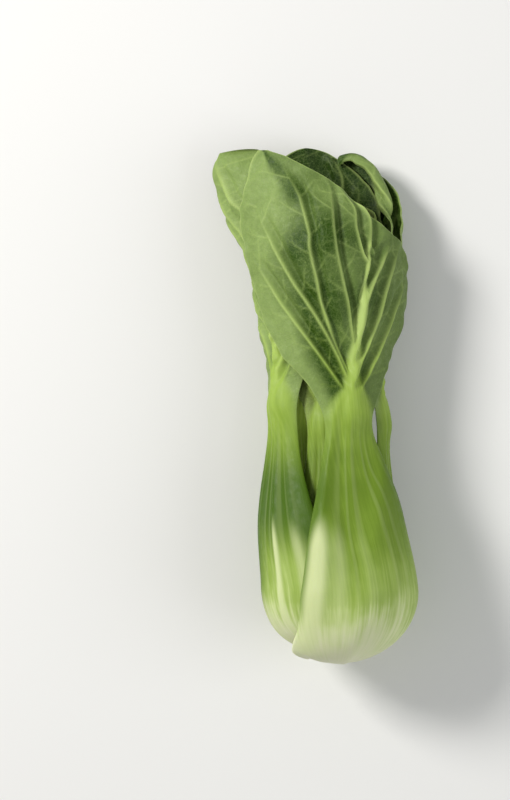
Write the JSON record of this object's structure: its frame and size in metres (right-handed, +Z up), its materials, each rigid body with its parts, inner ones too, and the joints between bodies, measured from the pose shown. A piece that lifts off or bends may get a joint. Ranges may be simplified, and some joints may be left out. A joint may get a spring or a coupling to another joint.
{
  "type": "bok choy",
  "caption": "Head of bok choy lying on its side: pale fleshy stalks in a spiral round a short stem, with ribbed green leaf blades.",
  "frame": {"origin": "on the surface that the head lies on, under the middle of its box", "axes": "+Y from the cut root end to the leaf tips, +Z up from the surface that it lies on"},
  "size_m": [0.0826, 0.2062, 0.0619],
  "materials": {
    "stalk": "smooth, waxy, pale green stalk and ribs",
    "blade": "soft sheen, green leaf blade",
    "stem": "dull, cream, cut stem"
  },
  "bodies": {
    "root": {"stem_core": "stem", "outer_stalk_1": "stalk", "outer_blade_1": "blade", "outer_stalk_2": "stalk", "outer_blade_2": "blade", "outer_stalk_3": "stalk", "outer_blade_3": "blade", "outer_stalk_4": "stalk", "outer_blade_4": "blade", "outer_stalk_5": "stalk", "outer_blade_5": "blade", "middle_stalk_1": "stalk", "middle_blade_1": "blade", "middle_stalk_2": "stalk", "middle_blade_2": "blade", "middle_stalk_3": "stalk", "middle_blade_3": "blade", "middle_stalk_4": "stalk", "middle_blade_4": "blade", "heart_stalk_1": "stalk", "heart_blade_1": "blade", "heart_stalk_2": "stalk", "heart_blade_2": "blade", "heart_stalk_3": "stalk", "heart_blade_3": "blade"}
  },
  "joints": []
}
